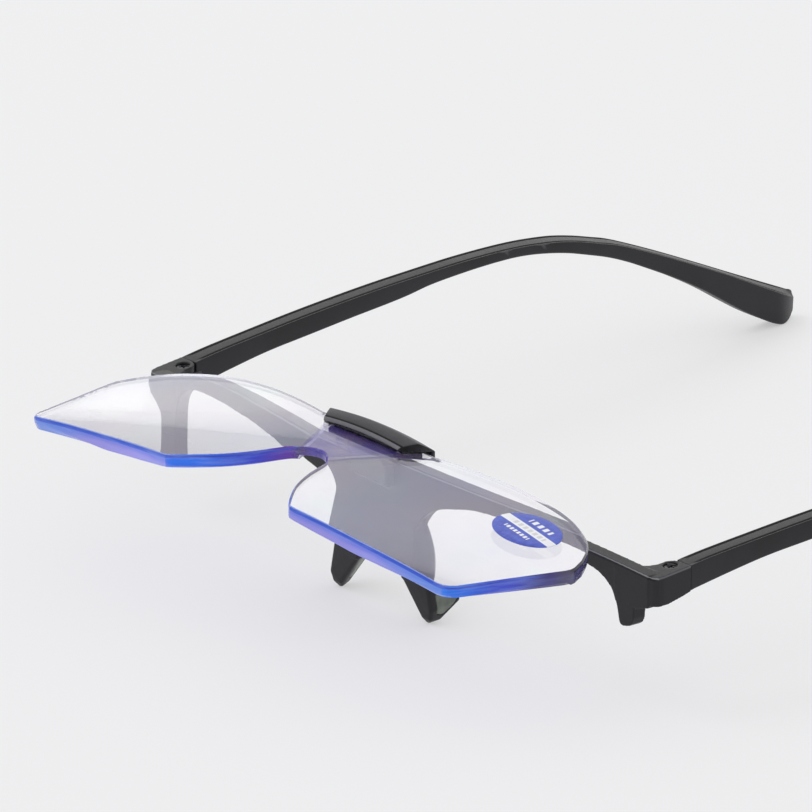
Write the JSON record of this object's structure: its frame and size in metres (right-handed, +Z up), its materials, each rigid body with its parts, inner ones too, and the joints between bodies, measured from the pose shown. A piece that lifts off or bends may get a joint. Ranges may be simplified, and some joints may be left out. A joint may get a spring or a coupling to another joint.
{
  "type": "flip-up reading glasses",
  "caption": "Open-bottomed half-frame glasses with folding temples and a curved magnifying shield that flips up on a hinged bar at the bridge.",
  "frame": {"origin": "on the surface that the glasses stand on, under the middle of their bounding box", "axes": "+Z up, +Y from the front towards the temple tips, +X towards the side that carries the sticker"},
  "size_m": [0.1502, 0.1892, 0.0342],
  "materials": {
    "frame_plastic": "black injection-moulded nylon, semi-matte with soft highlights on its edges",
    "clip_plastic": "black moulded plastic with a fine texture on the top faces",
    "pad_silicone": "smoky grey soft silicone",
    "shield_lens": "clear polycarbonate with a blue-violet anti-reflection and blue-light coating, blue at the polished edge",
    "screw_steel": "small nickel-plated steel screws, pin and washers",
    "insert_brass": "turned brass threaded insert",
    "washer_nylon": "natural nylon",
    "sticker_print": null
  },
  "bodies": {
    "front": {"frame_front": "frame_plastic", "nose_pad_left": "pad_silicone", "nose_pad_right": "pad_silicone", "hinge_screw_left": "screw_steel", "hinge_screw_right": "screw_steel", "hinge_insert_left": "insert_brass", "hinge_insert_right": "insert_brass", "hinge_washers_left": "washer_nylon", "hinge_washers_right": "washer_nylon", "flip_mount": "clip_plastic", "mount_screws": "screw_steel", "friction_washers": "screw_steel"},
    "temple_left": {"temple_left": "frame_plastic"},
    "temple_right": {"temple_right": "frame_plastic"},
    "flip_unit": {"flip_bar": "clip_plastic", "lens_clamp": "clip_plastic", "clamp_screws": "screw_steel", "flip_pin": "screw_steel", "shield_lens": "shield_lens", "power_sticker": "sticker_print"}
  },
  "joints": [
    {"name": "flip", "type": "hinge", "parent": "front", "child": "flip_unit", "pos_m": [0, -0.06306, 0.028], "axis": [1, 0, 0], "range_deg": [0, 88]},
    {"name": "fold_left", "type": "hinge", "parent": "front", "child": "temple_left", "pos_m": [-0.0672, -0.05096, 0.0216], "axis": [0, 0, -1], "range_deg": [0, 90]},
    {"name": "fold_right", "type": "hinge", "parent": "front", "child": "temple_right", "pos_m": [0.0672, -0.05096, 0.0216], "axis": [0, 0, 1], "range_deg": [0, 78]}
  ]
}
